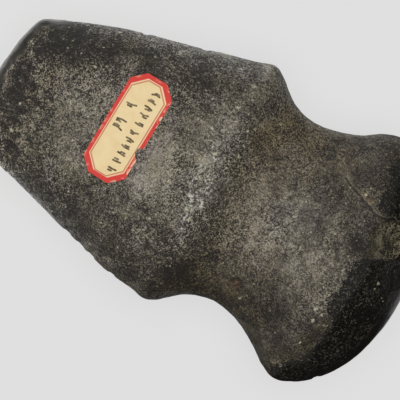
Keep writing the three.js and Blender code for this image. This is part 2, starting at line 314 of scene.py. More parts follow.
outline = smooth_loop(UPPER_SIDE + BIT_EDGE + LOWER_SIDE + POLL_END, OUTLINE_STEPS)
stone_low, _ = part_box("stone_axe_head")
part_shift = np.array([*(np.array(stone_low[:2]) / MM - outline.min(axis=0)), FLOOR_BELOW_MIDDLE])


def to_part(points):
    """Points of the head's own frame, in millimetres, as metres in the part's frame."""
    return (np.asarray(points) + part_shift) * MM


def smoothstep(low, high, value):
    """0 below low, 1 above high and smooth between. Low may be the larger one."""
    t = np.clip((value - low) / (high - low), 0, 1)
    return t * t * (3 - 2 * t)


def fractal(points, length, octaves):
    """Noise of both signs at points in millimetres, with its longest waves about as long as length."""
    return np.array([noise.fractal(Vector(p) / length, 1, 2, octaves) for p in points])


def cell_distance(points, size):
    """How far each point is from the middle of its cell, from 0 to about 1, in cells of about that size."""
    return np.array([noise.voronoi(Vector(p) / size)[0][0] for p in points])


def line_distance(xy, line):
    """The distance of each point to a line, with a sign for its side, and whether it is past an end."""
    best = np.full(len(xy), np.inf)
    signed = np.zeros(len(xy))
    past_end = np.zeros(len(xy), bool)
    for k, (a, b) in enumerate(zip(line, line[1:])):
        a, b = np.array(a, float), np.array(b, float)
        share = (xy - a) @ (b - a) / ((b - a) @ (b - a))
        away = xy - a - np.clip(share, 0, 1)[:, None] * (b - a)
        distance = np.linalg.norm(away, axis=1)
        nearer = distance < best
        side = np.sign((b - a)[0] * away[:, 1] - (b - a)[1] * away[:, 0])
        signed[nearer] = (distance * np.where(side == 0, 1, side))[nearer]
        outside = ((share < 0) & (k == 0)) | ((share > 1) & (k == len(line) - 2))
        past_end[nearer] = outside[nearer]
        best = np.minimum(best, distance)
    return signed, past_end


def spots(xy, centres):
    """1 at the centre of any (x, y, radius) spot, falling to 0 at its radius."""
    found = np.zeros(len(xy))
    for x, y, radius in centres:
        found = np.maximum(found, 1 - np.hypot(xy[:, 0] - x, xy[:, 1] - y) / radius)
    return found


def waves(phase, x, y):
    """How far the slow waves lift a face at each point."""
    return sum(height * np.sin(by_x * x + by_y * y + start + phase) for height, by_x, by_y, start in WAVES)


def scar_depth(scars, x, y):
    """The depth of a face's scars at each point: each is a shallow bowl."""
    return sum(
        depth * np.maximum(1 - ((x - scar_x) ** 2 + (y - scar_y) ** 2) / radius**2, 0)
        for scar_x, scar_y, radius, depth in scars
    )


def station(x, y):
    """The place along the head whose cross-section a point belongs to."""
    return x + along(STATION_BEND, x) * (y - MIDDLE_Y) ** 2


def rim_height(x, y):
    """How far the rim wanders from the mid-plane."""
    return RIM_WANDER * np.sin(x / RIM_WAVE_X + 0.5) * np.cos(y / RIM_WAVE_Y + 0.8)


def face_height(heights, scars, phase, x, y, share, power):
    """How far a face stands from the mid-plane. share runs from 0 on the middle line to 1 at the rim."""
    section = np.maximum(1 - share**power, 0) ** (1 / power)
    wave_share = np.minimum(1, 4 * (1 - share))
    scar_share = np.minimum(1, 3 * section)
    return (
        section * along(heights, station(x, y))
        + wave_share * waves(phase, x, y)
        - scar_share * scar_depth(scars, x, y)
    )


def top_height(x, y, share, power):
    """The height of the top face over the mid-plane."""
    return rim_height(x, y) + face_height(TOP_HEIGHTS, TOP_SCARS, TOP_PHASE, x, y, share, power)


def underside_height(x, y, share, power):
    """The height of the underside, which is flat where it rests on the floor."""
    face = face_height(UNDERSIDE_HEIGHTS, UNDERSIDE_SCARS, UNDERSIDE_PHASE, x, y, share, power)
    return np.maximum(rim_height(x, y) - face, -FLOOR_BELOW_MIDDLE)


def blade_top(x, y):
    """The height of the top face at points between the two ends' fans."""
    upper = outline[outline[:, 1] > MIDDLE_Y]
    lower = outline[outline[:, 1] <= MIDDLE_Y]
    upper_y, lower_y = (np.interp(x, *side[np.argsort(side[:, 0])].T) for side in (upper, lower))
    reach = np.where(y > MIDDLE_Y, upper_y - MIDDLE_Y, MIDDLE_Y - lower_y)
    return top_height(x, y, np.abs(y - MIDDLE_Y) / reach, along(SIDE_POWER, x))


def make_spokes():
    """Feet, angles, powers and reaches of the half cross-sections, anticlockwise round the head."""
    feet = np.linspace(POLL_FOOT_X, BIT_FOOT_X, round((POLL_FOOT_X - BIT_FOOT_X) / SECTION_STEP) + 1)

    def fan(foot_x, rim, count):
        """The feet and angles of the lines from one foot to a part of the rim."""
        picked = rim[(len(rim) * np.arange(1, count) / count).astype(int)]
        return np.full(count - 1, foot_x), np.arctan2(picked[:, 1] - MIDDLE_Y, picked[:, 0] - foot_x)

    bit_feet, bit_angles = fan(BIT_FOOT_X, outline[outline[:, 0] < BIT_FOOT_X], BIT_SECTIONS)
    poll_feet, poll_angles = fan(POLL_FOOT_X, outline[outline[:, 0] > POLL_FOOT_X], POLL_SECTIONS)
    quarter = np.full(len(feet), math.pi / 2)
    foot_x = np.concatenate([feet, bit_feet, feet[::-1], poll_feet])
    angle = np.concatenate([quarter, bit_angles, -quarter, poll_angles])
    towards_end = np.cos(angle) ** 2
    power = (1 - towards_end) * along(SIDE_POWER, foot_x) + towards_end * END_POWER
    return foot_x, angle, power, outline_reach(foot_x, angle)


def outline_reach(foot_x, angle):
    """How far the outline is from each foot on the middle line, in the direction of each angle."""
    dx, dy = np.cos(angle)[:, None], np.sin(angle)[:, None]
    edge = np.roll(outline, -1, axis=0) - outline
    cross = dx * edge[:, 1] - dy * edge[:, 0]
    wx, wy = outline[:, 0] - foot_x[:, None], outline[:, 1] - MIDDLE_Y
    share = (wx * dy - wy * dx) / cross
    hit = (share > -0.01) & (share < 1.01)
    return np.where(hit, (wx * edge[:, 1] - wy * edge[:, 0]) / cross, 0).max(axis=1)


def halves(a, b, c, d):
    """The two triangles of each four-cornered face."""
    return np.vstack([np.column_stack([a, b, c]), np.column_stack([a, c, d])])


def sheet_faces(rows, columns, upwards):
    """Triangles between neighbouring rows, round and back to the first, as numbers of their points."""
    here = np.arange(rows * columns).reshape(rows, columns)
    beyond = np.roll(here, -1, axis=0)
    corners = (here[:, :-1], here[:, 1:], beyond[:, 1:], beyond[:, :-1])
    triangles = halves(*(grid.ravel() for grid in corners))
    return triangles if upwards else triangles[:, [0, 2, 1]]


def weld(points, triangles):
    """Points with the repeated ones merged, triangles between them, and each kept point's first number."""
    _, first, number = np.unique(np.round(points, 4), axis=0, return_index=True, return_inverse=True)
    triangles = number.ravel()[triangles]
    a, b, c = triangles.T
    return points[first], triangles[(a != b) & (b != c) & (c != a)], first


def point_normals(points, triangles):
    """The direction that the surface faces at each point, from the triangles round it."""
    a, b, c = (points[triangles[:, k]] for k in range(3))
    face = np.cross(b - a, c - a)
    normals = np.zeros_like(points)
    for k in range(3):
        np.add.at(normals, triangles[:, k], face)
    return normals / np.linalg.norm(normals, axis=1)[:, None]


def place(name, data):
    """A new object in the scene."""
    thing = bpy.data.objects.new(name, data)
    bpy.context.scene.collection.objects.link(thing)
    return thing


def mesh_object(name, points, triangles, marks):
    """A smooth mesh from points in the head's own frame, with its marks as numbers at the points."""
    mesh = bpy.data.meshes.new(name)
    mesh.from_pydata(to_part(points).tolist(), [], triangles.tolist())
    mesh.shade_smooth()
    for mark, values in marks.items():
        attribute = mesh.attributes.new(mark, "FLOAT", "POINT")
        attribute.data.foreach_set("value", np.asarray(values, np.float32))
    return place(name, mesh)


def on_label(x, y):
    """Places on the label as q, across it, and p, along it, in millimetres from its middle."""
    dx, dy = x - LABEL_X, y - LABEL_Y
    q = dx * math.cos(LABEL_TURN) + dy * math.sin(LABEL_TURN)
    return q, dy * math.cos(LABEL_TURN) - dx * math.sin(LABEL_TURN)


def off_label(q, p):
    """The x and y of places on the label."""
    x = LABEL_X + q * math.cos(LABEL_TURN) - p * math.sin(LABEL_TURN)
    return x, LABEL_Y + q * math.sin(LABEL_TURN) + p * math.cos(LABEL_TURN)


def lumps(points):
    """The uneven ground of a hand-pecked face, in millimetres."""
    return LUMP_HEIGHT * fractal(points, LUMP_LENGTH, 3)


def patch_shade(x, y):
    """How much darker or lighter the patches make each point, with their painted shade and painted
    highlights.
    """
    return sum(
        change * np.exp(-((x - patch_x) ** 2 + (y - patch_y) ** 2) / radius**2)
        for patch_x, patch_y, radius, change in MOTTLE_AND_PAINTED_LIGHT_PATCHES
    )


def earth(xy, ragged, near_bit):
    """How much earth is left at each point: most in the groove, and a little at the bit."""
    soil = smoothstep(0, 0.55, spots(xy, GROOVE_SOIL) + 0.25 * ragged)
    thin_soil = 0.35 + 0.25 * smoothstep(*SOIL_THICK, xy[:, 0])
    soil = np.maximum(soil, thin_soil * smoothstep(*SOIL_BEGIN, xy[:, 0]))
    return np.maximum(soil, 0.3 * near_bit)


def coarseness(x, worn, handled, soil, poll):
    """How strongly the grains stand out: most at the bit and the dark end of the poll, least where worn."""
    at_bit = 1 + 0.45 * smoothstep(*BIT_COARSE, x)
    from_groove = 1 - 0.47 * smoothstep(*GROOVE_FINE, x) + 0.07 * smoothstep(*POLL_COARSE, x)
    return at_bit * (1.05 - 0.2 * handled) * (from_groove + 0.2 * soil + 0.8 * poll) * (1 - 0.75 * worn)


def pale_marks(xy, fine_ragged):
    """The pale bruises and scratches at each point."""
    bruises = smoothstep(0, 0.7, spots(xy, PALE_SPOTS) * (1 + fine_ragged))
    gaps = [np.abs(line_distance(xy, line)[0]) for line in PALE_STREAKS]
    streaks = [smoothstep(0.5, 0.2, gap + 0.3 * fine_ragged) for gap in gaps]
    return np.maximum(bruises, 0.8 * np.max(streaks, axis=0))


def crack_distance(xy):
    """The distance of each point to the nearer crack, with a sign for its side."""
    cracks = [line_distance(xy, line) for line in (POLL_CRACK, SCAR_CRACK)]
    sides = np.array([np.where(past, NO_CRACK, side) for side, past in cracks])
    return np.take_along_axis(sides, np.abs(sides).argmin(axis=0)[None], axis=0)[0]


def stone_marks(points, rim_gap, is_top):
    """Where the stone is worn, dark, soiled, scuffed, broken and cracked, and where shade and highlights are
    painted, each as a number at every point.
    """
    xy = points[:, :2]
    x, y = xy[:, 0], xy[:, 1]
    ragged = fractal(points, 7, 3)
    fine_ragged = fractal(points + 50, 2.2, 2)
    at_ends = np.maximum(smoothstep(*BIT_WEAR, x), 0.7 * smoothstep(*POLL_WEAR, x))
    worn = at_ends * smoothstep(*WORN_BAND, rim_gap + 0.9 * ragged)
    past_edge = x - along(POLL_EDGE, y) + 2.2 * ragged + 1.2 * fine_ragged
    poll = smoothstep(-1.2, 1.2, past_edge)
    near_bit = smoothstep(*BIT_MOTTLE, x)
    # The patches add painted shade and painted highlights as well as mottling; the noise near the bit is
    # mottling only.
    shade = patch_shade(x, y) + 0.55 * near_bit * fractal(points + 90, 2.6, 2)
    handled = smoothstep(0, 0.8, spots(xy, HANDLED) + 0.3 * ragged)
    handled = np.where(is_top, handled, 0.4 * smoothstep(-0.2, 0.5, ragged))
    soil = earth(xy, ragged, near_bit)
    crest = spots(xy, SCUFFS)
    scar = smoothstep(0, 0.3, spots(xy, [TOP_SCARS[0][:3]]) + 0.12 * fine_ragged)
    from_middle = np.hypot(x - RIPPLE_MIDDLE[0], y - RIPPLE_MIDDLE[1])
    crack = np.clip(crack_distance(xy) + 0.4 * fine_ragged, -NO_CRACK, NO_CRACK)
    top_marks = {
        "shade": shade,
        "stain": smoothstep(0, 0.8, spots(xy, STAINS) * (1 + fine_ragged)),
        "scuff": smoothstep(0, 0.8, crest + 0.4 * fine_ragged * (crest > 0)),
        "pale": pale_marks(xy, fine_ragged),
        "scar": scar,
        "ripple": scar * np.sin(RIPPLE_RATE * from_middle + 3.5 * ragged),
    }
    return {
        "worn": worn,
        "handled": handled,
        "poll": np.where(is_top, np.maximum(poll - scar, 0), poll),
        "coarse": coarseness(x, worn, handled, soil, poll),
        "polish": smoothstep(*POLL_POLISH, station(x, y)) * smoothstep(0, 3, past_edge),
        "soil": soil,
        "crack": np.where(is_top, crack, NO_CRACK),
        **{mark: np.where(is_top, share, 0) for mark, share in top_marks.items()},
    }


def make_stone_mesh(relief):
    """The head as one closed mesh, with the hammered relief of its surface."""
    foot_x, angle, power, reach = make_spokes()
    sheets = []
    for rings, height in ((TOP_RINGS, top_height), (UNDERSIDE_RINGS, underside_height)):
        share = np.sin(math.pi / 2 * np.arange(rings + 1) / rings)[None, :]
        x = foot_x[:, None] + share * (reach * np.cos(angle))[:, None]
        y = MIDDLE_Y + share * (reach * np.sin(angle))[:, None]
        z = height(x, y, share, power[:, None])
        sheets.append(np.stack([x, y, z, (1 - share) * reach[:, None]], axis=-1))
    columns = np.vstack([sheet.reshape(-1, 4) for sheet in sheets])
    spokes = len(foot_x)
    top_points = spokes * (TOP_RINGS + 1)
    triangles = np.vstack([
        sheet_faces(spokes, TOP_RINGS + 1, True),
        sheet_faces(spokes, UNDERSIDE_RINGS + 1, False) + top_points,
    ])
    points, triangles, first = weld(columns[:, :3], triangles)
    is_top = first < top_points
    marks = stone_marks(points, columns[first, 3], is_top)
    normals = point_normals(points, triangles)
    q, p = on_label(points[:, 0], points[:, 1])
    under_label = is_top & (np.abs(q) < LABEL_WIDTH / 2 + 0.5) & (np.abs(p) < LABEL_LENGTH / 2 + 0.5)
    pits = smoothstep(0.42, 0.1, cell_distance(points, PIT_SPACING))
    pit_depth = PIT_DEPTH * pits * smoothstep(-0.2, 0.3, fractal(points, 5, 2))
    smooth = np.maximum.reduce([0.85 * marks["worn"], 0.7 * marks["handled"], 0.85 * under_label])
    pecking = PECK_HEIGHT * fractal(points, PECK_LENGTH, 2) - pit_depth
    crack_dent = CRACK_DEPTH * smoothstep(0.7, 0.1, np.abs(marks["crack"]))
    chips = CHIP_DEPTH * smoothstep(0, 0.6, spots(points[:, :2], CHIPS))
    height = lumps(points) + (1 - smooth) * pecking - crack_dent - chips + RIPPLE_HEIGHT * marks["ripple"]
    moved = points + normals * (relief * height)[:, None]
    moved[:, 2] = np.maximum(moved[:, 2], -FLOOR_BELOW_MIDDLE)
    return mesh_object("carved_axe_head", moved, triangles, marks)


def octagon_inset(q, p, half_width, half_length, cut):
    """How far inside an octagon each point is."""
    corner = (half_width + half_length - cut - np.abs(q) - np.abs(p)) / math.sqrt(2)
    return np.minimum(np.minimum(half_width - np.abs(q), half_length - np.abs(p)), corner)


def ink_strokes():
    """Two rows of pen strokes that are no letters, as short lines of (q, p) points."""
    pen = random.Random(PEN_SEED)
    strokes = []
    for low, high, first_p, step, count in PEN_ROWS:
        for k in range(count):
            p = first_p + step * k + pen.uniform(-0.2, 0.2)
            lean, bend = pen.uniform(-0.5, 0.6), pen.uniform(-0.35, 0.35)
            middle = (low + high) / 2 + pen.uniform(-0.2, 0.2)
            strokes.append([(low, p - lean / 2), (middle, p + bend), (high, p + lean / 2)])
            shorter = pen.uniform(0.35, 0.6) * (high - low)
            start = low + pen.uniform(0, 1) * (high - low - shorter)
            beside = p + pen.choice((-1, 1)) * pen.uniform(0.6, 0.85)
            end = start + shorter
            strokes.append([(start, beside - 0.1), (start + shorter / 2, beside + bend / 2), (end, beside)])
    return strokes


def make_label_mesh():
    """The label as a thin sheet that follows the blade, with its print and ink as numbers at the points."""
    half_width, half_length = LABEL_WIDTH / 2, LABEL_LENGTH / 2
    end_q, side_p = half_width - LABEL_CUT_ACROSS, half_length - LABEL_CUT_ALONG
    left_edge = [(-half_length, end_q), (-side_p, half_width), (side_p, half_width), (half_length, end_q)]
    torn = [(p, half_width - inward) for inward, p in LABEL_TEAR]
    right_edge = left_edge[:2] + torn + left_edge[2:]
    corner_rows = [p for p, _ in right_edge]
    even_rows = np.linspace(-half_length, half_length, round(LABEL_LENGTH / LABEL_STEP))
    rows = np.unique(np.concatenate([even_rows, corner_rows]))
    across = np.linspace(0, 1, round(LABEL_WIDTH / LABEL_STEP) + 1)
    wobble = np.array([LABEL_WOBBLE * noise.fractal(Vector((p / 1.7, 3, 0)), 1, 2, 3) for p in rows])
    left = -np.interp(rows, *np.array(left_edge).T) - wobble
    right = np.interp(rows, *np.array(right_edge).T) + wobble[::-1]
    q = left[:, None] + (right - left)[:, None] * across
    p = np.broadcast_to(rows[:, None], q.shape)
    x, y = off_label(q, p)
    ground = np.stack([x, y, blade_top(x, y)], axis=-1).reshape(-1, 3)
    inset = octagon_inset(q, p, half_width, half_length, (LABEL_CUT_ALONG + LABEL_CUT_ACROSS) / 2).ravel()
    curl = LABEL_CURL * smoothstep(1.2, 0, inset) * smoothstep(-0.1, 0.5, fractal(ground, 12, 2))
    creases = LABEL_CREASE * fractal(ground, 4, 3)
    top = ground + [0, 0, 1] * (LABEL_LIFT + lumps(ground) + curl + creases)[:, None]
    bottom = top - [0, 0, LABEL_DEPTH]
    count, width = q.shape
    here = np.arange(count * width).reshape(count, width)
    corners = (here[:-1, :-1], here[:-1, 1:], here[1:, 1:], here[1:, :-1])
    upper = halves(*(grid.ravel() for grid in corners))
    rim = np.concatenate([here[0, :], here[1:, -1], here[-1, -2::-1], here[-2:0:-1, 0]])
    onward = np.roll(rim, -1)
    under = count * width
    band = halves(rim, rim + under, onward + under, onward)
    triangles = np.vstack([upper, upper[:, ::-1] + under, band])
    places = np.column_stack([q.ravel(), p.ravel()])
    ink = np.min([np.abs(line_distance(places, stroke)[0]) for stroke in ink_strokes()], axis=0)
    marks = {
        "inset": inset,
        "border": octagon_inset(q, p, *BORDER_OCTAGON).ravel(),
        "frame_line": octagon_inset(q + LINE_OFF_Q, p + LINE_OFF_P, *LINE_OCTAGON).ravel(),
        "ink": ink,
        "across": q.ravel(),
    }
    both_sides = {mark: np.tile(share, 2) for mark, share in marks.items()}
    return mesh_object("old_paper_label", np.vstack([top, bottom]), triangles, both_sides)


def linear(red, green, blue):
    """A colour given in sRGB from 0 to 255, as the linear colour that shaders use."""
    share = np.array([red, green, blue]) / 255
    values = np.where(share <= 0.04045, share / 12.92, ((share + 0.055) / 1.055) ** 2.4)
    return tuple(values.tolist())


class NodeBoard:
    """A new material and short ways of adding nodes to it."""

    def __init__(self, name):
        self.material = bpy.data.materials.new(name)
        self.material.use_nodes = True
        self.tree = self.material.node_tree
        self.surface = self.tree.nodes["Principled BSDF"]
        self.place = self.tree.nodes.new("ShaderNodeTexCoord").outputs["Object"]

    def feed(self, socket, value):
        """Join a socket to another one, or set its value."""
        if isinstance(value, bpy.types.NodeSocket):
            self.tree.links.new(value, socket)
        else:
            socket.default_value = value

    def add(self, kind, inputs):
        """A new node, with its inputs by name or number."""
        node = self.tree.nodes.new("ShaderNode" + kind)
        for key, value in inputs.items():
            self.feed(node.inputs[key], value)
        return node

    def noise(self, size, detail, roughness, offset=0.0):
        """Noise from 0 to 1 with grains of about that size in metres."""
        node = self.add("TexNoise", {"Vector": self.place, "Scale": 1 / size, "Detail": detail})
        node.noise_dimensions = "4D"
        self.feed(node.inputs["W"], offset)
        self.feed(node.inputs["Roughness"], roughness)
        return node.outputs["Fac"]

    def grains(self, size):
        """A random number from 0 to 1 in each grain of about that size in metres."""
        cells = self.add("TexVoronoi", {"Vector": self.place, "Scale": 1 / size})
        return self.add("SeparateColor", {0: cells.outputs["Color"]}).outputs[0]

    def mark(self, name):
        """A number stored at the mesh's points."""
        node = self.add("Attribute", {})
        node.attribute_name = name
        return node.outputs["Fac"]

    def math(self, operation, a, b=0.0):
        """The result of an operation on one or two values."""
        node = self.add("Math", {0: a, 1: b})
        node.operation = operation
        return node.outputs[0]

    def blend(self, parts, middle):
        """The sum of noises, each as far from 0.5 as it is times its share, about that middle."""
        total = middle - 0.5 * sum(share for _, share in parts)
        for value, share in parts:
            node = self.add("Math", {0: value, 1: share, 2: total})
            node.operation = "MULTIPLY_ADD"
            total = node.outputs[0]
        return total

    def ramp(self, value, low, high, to_low=0.0, to_high=1.0):
        """The value brought from one range to another, and held at its ends."""
        return self.add("MapRange", dict(enumerate((value, low, high, to_low, to_high)))).outputs[0]

    def mix(self, share, a, b, blend="MIX"):
        """Colour a with colour b laid over it."""
        node = self.add("Mix", {0: share})
        node.data_type = "RGBA"
        node.blend_type = blend
        for number, colour in ((6, a), (7, b)):
            is_socket = isinstance(colour, bpy.types.NodeSocket)
            self.feed(node.inputs[number], colour if is_socket else (*colour[:3], 1))
        return node.outputs[2]

    def bump(self, height, distance, strength):
        """Fine relief of the surface, as deep as distance in metres."""
        node = self.add("Bump", {"Height": height, "Distance": distance, "Strength": strength})
        self.feed(self.surface.inputs["Normal"], node.outputs["Normal"])


def stone_material(look):
    """Grainy stone, with earth in its groove, a dark end, and smooth dark places where it is worn."""
    board = NodeBoard("weathered_stone")
    fine = board.noise(FINE_GRIT, 3, 0.7)
    clump = board.noise(CLUMP, 4, 0.68, 8)
    broad = board.noise(BROAD_PATCH, 3, 0.5, 12)
    tint = board.noise(TINT_PATCH, 4, 0.65, 16)
    worn, handled, poll, soil, scuff, pale, scar = (
        board.mark(name) for name in ("worn", "handled", "poll", "soil", "scuff", "pale", "scar")
    )
    even_grit = board.blend(((board.grains(CRYSTAL), 1.15), (fine, 1.7)), 0)
    calm = board.ramp(board.noise(CALM_PATCH, 3, 0.6, 20), 0.38, 0.62, 0.65, 1.2)
    grit = board.math("MULTIPLY", board.math("MULTIPLY", even_grit, calm), board.mark("coarse"))
    tone = board.math("ADD", board.blend(((clump, 1.3), (broad, 0.9)), 0.42), grit)
    # The patches' painted shade and painted highlights darken and lighten the grains here.
    tone = board.math("ADD", tone, board.mark("shade"))
    colour = board.mix(board.ramp(tone, 0.08, 0.55), look.dark_grain, look.grain)
    colour = board.mix(board.ramp(tone, 0.55, 1.1), colour, look.light_grain)
    tint_colour = board.mix(board.ramp(tint, 0.38, 0.62), look.cool_tint, look.warm_tint)
    colour = board.mix(1.0, colour, tint_colour, "MULTIPLY")
    bright_grains = board.ramp(board.grains(FLECK), 0.984, 0.99)
    fleck = board.math("MULTIPLY", bright_grains, board.ramp(clump, 0.42, 0.55, 0, 0.75))
    colour = board.mix(fleck, colour, look.bruise)
    soil_share = board.math("MULTIPLY", soil, board.ramp(tone, 0.1, 0.7, 0.25, 0.7))
    colour = board.mix(soil_share, colour, board.mix(board.ramp(tone, 0.2, 0.95), look.dark_soil, look.soil))
    layers = board.ramp(board.blend(((tone, 1.6), (board.mark("ripple"), 0.3)), 0.3), -0.2, 0.75)
    scar_colour = board.mix(layers, look.dark_soil, look.fresh_break)
    colour = board.mix(board.math("MULTIPLY", scar, 0.8), colour, scar_colour)
    colour = board.mix(board.math("MULTIPLY", worn, 0.7), colour, look.worn)
    poll = board.ramp(board.blend(((fine, 2.6), (poll, 1)), 0.5), 0.3, 0.7)
    poll_share = board.math("MULTIPLY", poll, board.ramp(even_grit, 0.32, 0.68, 0.99, 0.5))
    colour = board.mix(poll_share, colour, look.poll)
    rust_share = board.math("MULTIPLY", board.mark("stain"), board.ramp(fine, 0.42, 0.6, 0.05, 0.42))
    colour = board.mix(rust_share, colour, look.rust)
    speck = board.noise(SPECK, 3, 0.7, 24)
    scuff_share = board.math("MULTIPLY", scuff, board.ramp(speck, 0.52, 0.58, 0, 0.95))
    colour = board.mix(scuff_share, colour, look.scuff)
    pale_share = board.ramp(board.blend(((speck, 3.2), (pale, 1)), 0), 0.15, 0.5, 0, 0.85)
    colour = board.mix(pale_share, colour, look.bruise)
    beside_crack = board.mark("crack")
    lip = board.ramp(beside_crack, 0.3, 0.6)
    lip = board.math("MULTIPLY", lip, board.ramp(beside_crack, 1, 0.6, 0, 0.16))
    colour = board.mix(lip, colour, look.bruise)
    crack_share = board.ramp(board.math("ABSOLUTE", beside_crack), 0.25, 0.55, 0.8, 0)
    colour = board.mix(crack_share, colour, look.crack)
    board.feed(board.surface.inputs["Base Color"], colour)
    rough = board.math("ADD", board.ramp(tone, 0.1, 0.9, 0.36, -0.14), look.pecked_roughness)
    rough = board.math("SUBTRACT", rough, board.math("MULTIPLY", handled, 0.05))
    rough = board.ramp(worn, 0, 1, rough, look.worn_roughness)
    rough = board.ramp(poll_share, 0.3, 1, rough, 1)
    poll_rough = board.ramp(tone, 0.4, 1.1, look.poll_roughness, look.poll_roughness + 0.12)
    rough = board.ramp(board.mark("polish"), 0, 1, rough, poll_rough)
    board.feed(board.surface.inputs["Roughness"], rough)
    board.feed(board.surface.inputs["Specular IOR Level"], look.gloss)
    height = board.blend(((fine, 1.0), (clump, 1.0)), 0.5)
    strength = board.math("MULTIPLY", board.ramp(worn, 0, 1, 0.9, 0.12), board.ramp(handled, 0, 1, 1, 0.45))
    board.bump(height, GRIT_DEPTH, strength)
    return board.material


def paper_material(look):
    """Aged gummed paper: a cream field, a thin printed line and a red border, worn pale along the edges."""
    board = NodeBoard("aged_label_paper")
    fibre = board.noise(FIBRE, 3, 0.6)
    blotch = board.noise(BLOTCH, 3, 0.6, 3)
    wear = board.noise(RUBBED_PLACE, 3, 0.65, 6)
    colour = board.mix(board.ramp(blotch, 0.4, 0.7, 0, 0.5), look.field, look.foxing)
    line_gap = board.math("ABSOLUTE", board.mark("frame_line"))
    line_half = look.line_width / MM / 2
    colour = board.mix(board.ramp(line_gap, line_half, line_half + 0.12, 0.75, 0), colour, look.line)
    outside_line = board.ramp(board.mark("frame_line"), -0.05, -0.2, 0, 0.6)
    colour = board.mix(outside_line, colour, look.margin)
    red_share = board.ramp(board.mark("border"), 0.08, -0.1)
    colour = board.mix(red_share, colour, look.border)
    worn = board.math("MULTIPLY", board.ramp(wear, 0.54, 0.61), board.ramp(board.mark("inset"), 1.1, 0.2))
    worn_side = board.ramp(board.mark("across"), 4, 7.5, 0.35, 1)
    colour = board.mix(board.math("MULTIPLY", worn, worn_side), colour, look.margin)
    pen_half = look.pen_width / MM / 2
    ink_share = board.ramp(board.mark("ink"), pen_half, pen_half + 0.14, 1, 0)
    ink_share = board.math("MULTIPLY", ink_share, board.ramp(fibre, 0.3, 0.6, 0.6, 1))
    colour = board.mix(ink_share, colour, look.ink)
    board.feed(board.surface.inputs["Base Color"], colour)
    board.feed(board.surface.inputs["Roughness"], board.ramp(fibre, 0.3, 0.7, 0.62, 0.78))
    board.bump(fibre, FIBRE_DEPTH, 0.6)
    return board.material


def plain_material(name, inputs):
    """A surface that is the same all over, with its inputs by name."""
    board = NodeBoard(name)
    for socket, value in inputs.items():
        board.feed(board.surface.inputs[socket], value)
    return board.material


def floor_material(look):
    """A pale sheet that glows evenly, with a weak shadow."""
    lit = [look.floor_shade * value for value in look.floor]
    return plain_material("pale_floor", {
        "Base Color": (*lit, 1), "Roughness": 1, "Specular IOR Level": 0,
        "Emission Color": (*look.floor, 1), "Emission Strength": look.floor_glow,
    })


def card_material(glow):
    """A card that only gives off white light."""
    return plain_material("white_card", {
        "Base Color": (0, 0, 0, 1), "Emission Color": (1, 1, 1, 1), "Emission Strength": glow,
    })


def colour_property(name, description, default):
    """A colour that the user can set. Its default is in sRGB from 0 to 255."""
    return bpy.props.FloatVectorProperty(
        name=name, description=description, default=linear(*default), size=3, subtype="COLOR", min=0, max=1
    )


def share_property(name, description, default, highest=1):
    """A number from 0 up that the user can set."""
    return bpy.props.FloatProperty(
        name=name, description=description, default=default, min=0, max=highest, subtype="FACTOR"
    )


def length_property(name, description, default):
    """A length in metres that the user can set."""
    return bpy.props.FloatProperty(
        name=name, description=description, default=default, min=0.0001, precision=5, unit="LENGTH"
    )


class StoneLook(bpy.types.PropertyGroup):
    relief: share_property("Relief", "How deep the hammered relief is", 1, 2)
    pecked_roughness: share_property("Pecked roughness", "Roughness of the pecked faces", 0.48)
    poll_roughness: share_property("Poll roughness", "Roughness of the steep dark end of the poll", 0.31)
    worn_roughness: share_property("Worn roughness", "Roughness of the worn bit and the rim of the poll", 0.3)
    gloss: share_property("Gloss", "Strength of the stone's reflections", 0.56)
    dark_grain: colour_property("Dark grain", "The dark minerals of the stone", (24, 19, 12))
    grain: colour_property("Grain", "The body of the stone", (81, 76, 65))
    light_grain: colour_property("Light grain", "The light minerals of the stone", (152, 147, 132))
    warm_tint: colour_property("Warm tint", "Olive patches, as a filter over the grains", (252, 250, 234))
    cool_tint: colour_property("Cool tint", "Grey patches, as a filter over the grains", (252, 244, 249))
    soil: colour_property("Soil", "Earth left in the groove", (122, 106, 75))
    dark_soil: colour_property("Dark soil", "Earth in the pits of the groove", (30, 25, 18))
    fresh_break: colour_property("Broken stone", "The flake scar on the poll", (128, 122, 97))
    worn: colour_property("Worn stone", "The worn bit and the rim of the poll", (46, 44, 40))
    poll: colour_property("Poll", "The dark end of the poll", (16, 15, 13))
    scuff: colour_property("Scuffs", "The battered ridge of the shoulder", (196, 195, 182))
    bruise: colour_property("Bruised stone", "Pale spots and flecks", (178, 176, 148))
    rust: colour_property("Rust", "Rusty stains", (150, 112, 74))
    crack: colour_property("Crack", "The cracks in the poll", (30, 24, 18))


class LabelLook(bpy.types.PropertyGroup):
    line_width: length_property("Line width", "Width of the printed line", 0.00036)
    pen_width: length_property("Pen width", "Width of the pen strokes", 0.00048)
    field: colour_property("Field", "The aged paper", (238, 214, 164))
    foxing: colour_property("Foxing", "Brown blotches of age", (222, 190, 136))
    margin: colour_property("Margin", "The bare paper between line and border", (246, 205, 170))
    line: colour_property("Line", "The thin printed line", (186, 74, 34))
    border: colour_property("Border", "The printed border", (214, 58, 50))
    ink: colour_property("Ink", "The pen strokes", (60, 44, 16))


